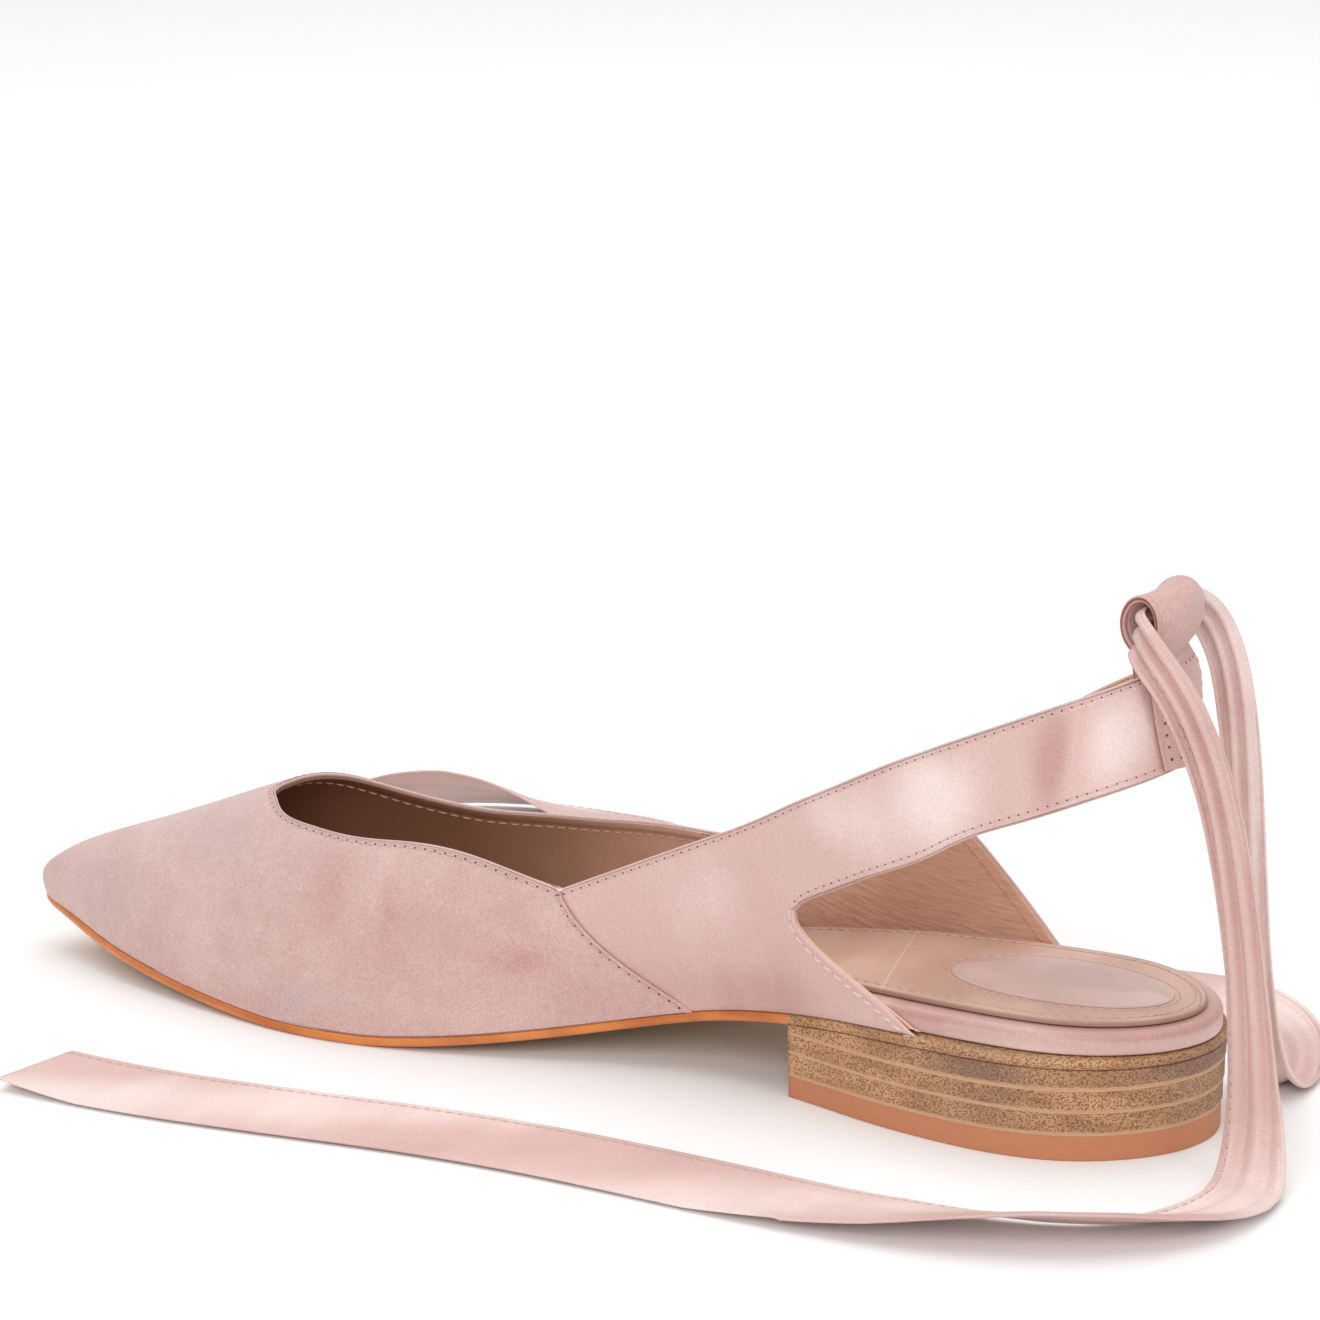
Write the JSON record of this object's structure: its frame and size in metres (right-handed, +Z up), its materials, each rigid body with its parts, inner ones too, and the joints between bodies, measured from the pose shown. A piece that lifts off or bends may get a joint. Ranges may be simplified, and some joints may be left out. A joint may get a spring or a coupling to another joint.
{
  "type": "ballet flat",
  "caption": "Pointed ballet flat with a suede vamp, satin quarters and slingback strap, a low stacked heel, and a satin ankle ribbon through a pull loop at the back.",
  "frame": {"origin": "on the floor under the middle of the heel, 40 mm in front of the heel's back", "axes": "+Y towards the toe, +X to the lateral (outer) side, +Z up"},
  "size_m": [0.2172, 0.2908, 0.1074],
  "materials": {
    "suede": "matt suede with a soft nap",
    "satin": "satin sheen",
    "leather_edge": "polished edge",
    "stacked_leather": "satin, speckled",
    "top_piece_rubber": "matt",
    "sock_leather": "smooth"
  },
  "bodies": {
    "root": {"upper": "suede", "back_tab": "suede", "outsole": "leather_edge", "heel_lift_wedge": "stacked_leather", "heel_lift_middle": "stacked_leather", "heel_lift_low": "stacked_leather", "top_piece": "top_piece_rubber", "insole_board": "satin", "sock": "sock_leather", "heel_pad": "sock_leather", "ribbon_medial": "satin", "ribbon_lateral": "satin"}
  },
  "joints": []
}
